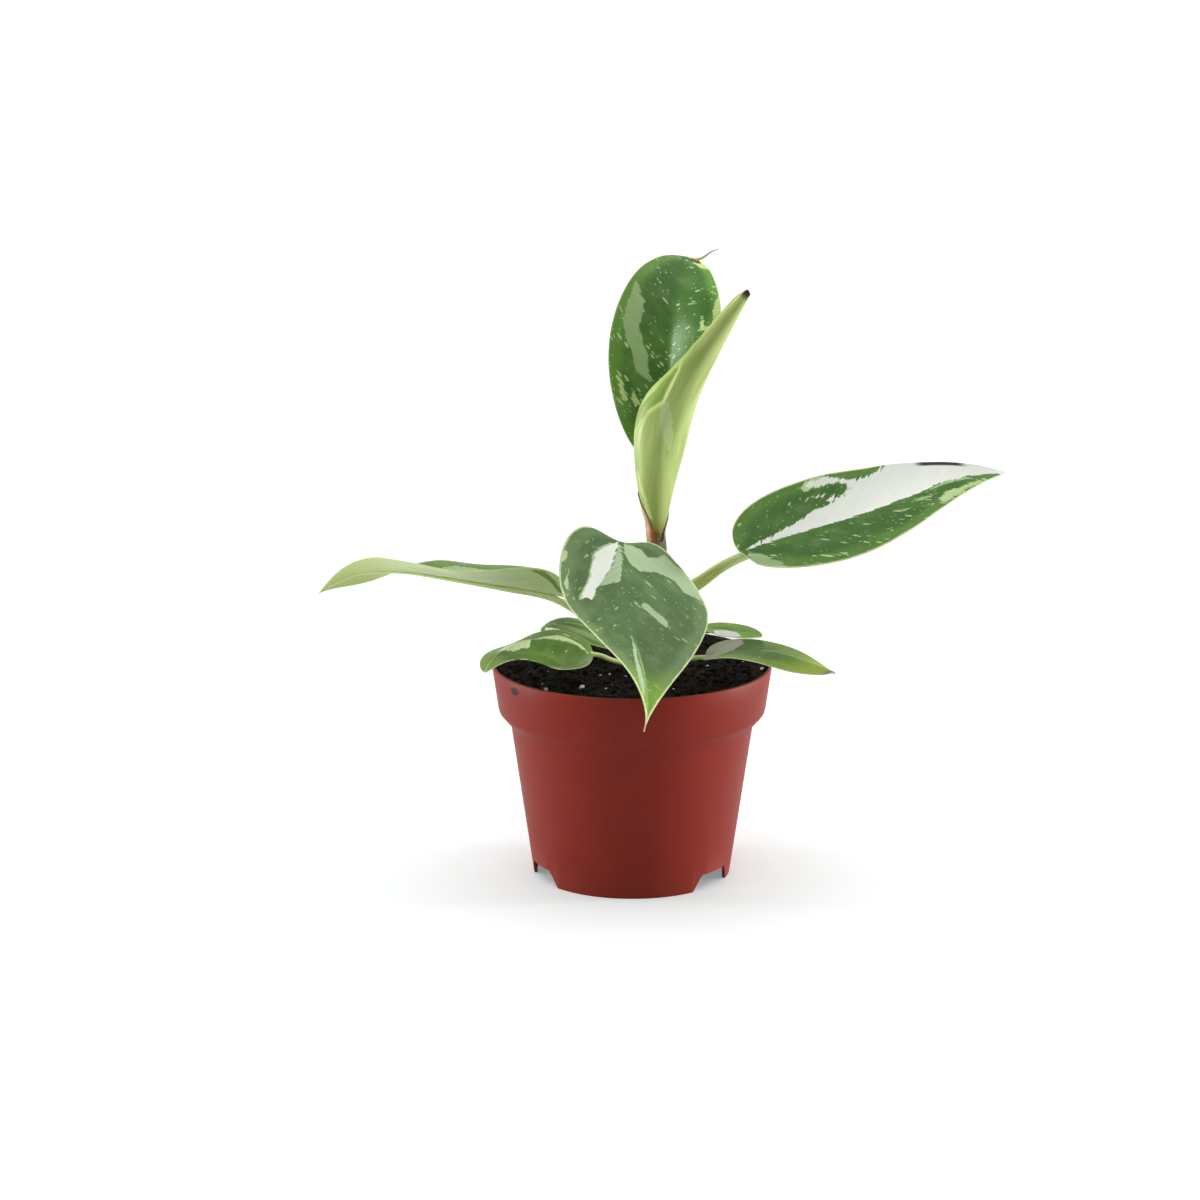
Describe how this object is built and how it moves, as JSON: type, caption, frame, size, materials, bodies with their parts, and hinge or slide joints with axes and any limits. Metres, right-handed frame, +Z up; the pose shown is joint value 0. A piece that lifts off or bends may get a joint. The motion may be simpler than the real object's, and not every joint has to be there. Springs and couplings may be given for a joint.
{
  "type": "white-splashed philodendron in a nursery pot",
  "caption": "Young philodendron with heart-shaped leaves splashed white and cream and a new leaf still furled, on a short upright stem in a round plastic nursery pot of dark peat.",
  "frame": {"origin": "centre of the whole plant's footprint, at the bottom of the pot's foot", "axes": "+Z up along the pot's axis, +X along the longest spread, towards the right-hand leaf, -Y towards the leaf that hangs over the rim"},
  "size_m": [0.2636, 0.1802, 0.2252],
  "materials": {
    "pot": "moulded terracotta-red plastic with a satin skin",
    "soil": "damp dark peat with a few white perlite grains",
    "stem": "smooth olive-green stem skin",
    "sheath": "dry reddish-brown leaf sheath with a pale edge",
    "leaf": "satin green leaf with white, cream and grey-green patches",
    "young_leaf": "smooth light green underside of a leaf that is still rolled up"
  },
  "bodies": {
    "root": {"pot": "pot", "soil": "soil", "stem": "stem", "sheath": "sheath", "leaf_furled": "young_leaf", "leaf_top": "leaf", "leaf_right": "leaf", "leaf_left": "leaf", "leaf_front": "leaf", "leaf_low_left": "leaf", "leaf_low_back": "leaf", "leaf_low_right": "leaf", "leaf_low_small": "leaf"}
  },
  "joints": []
}
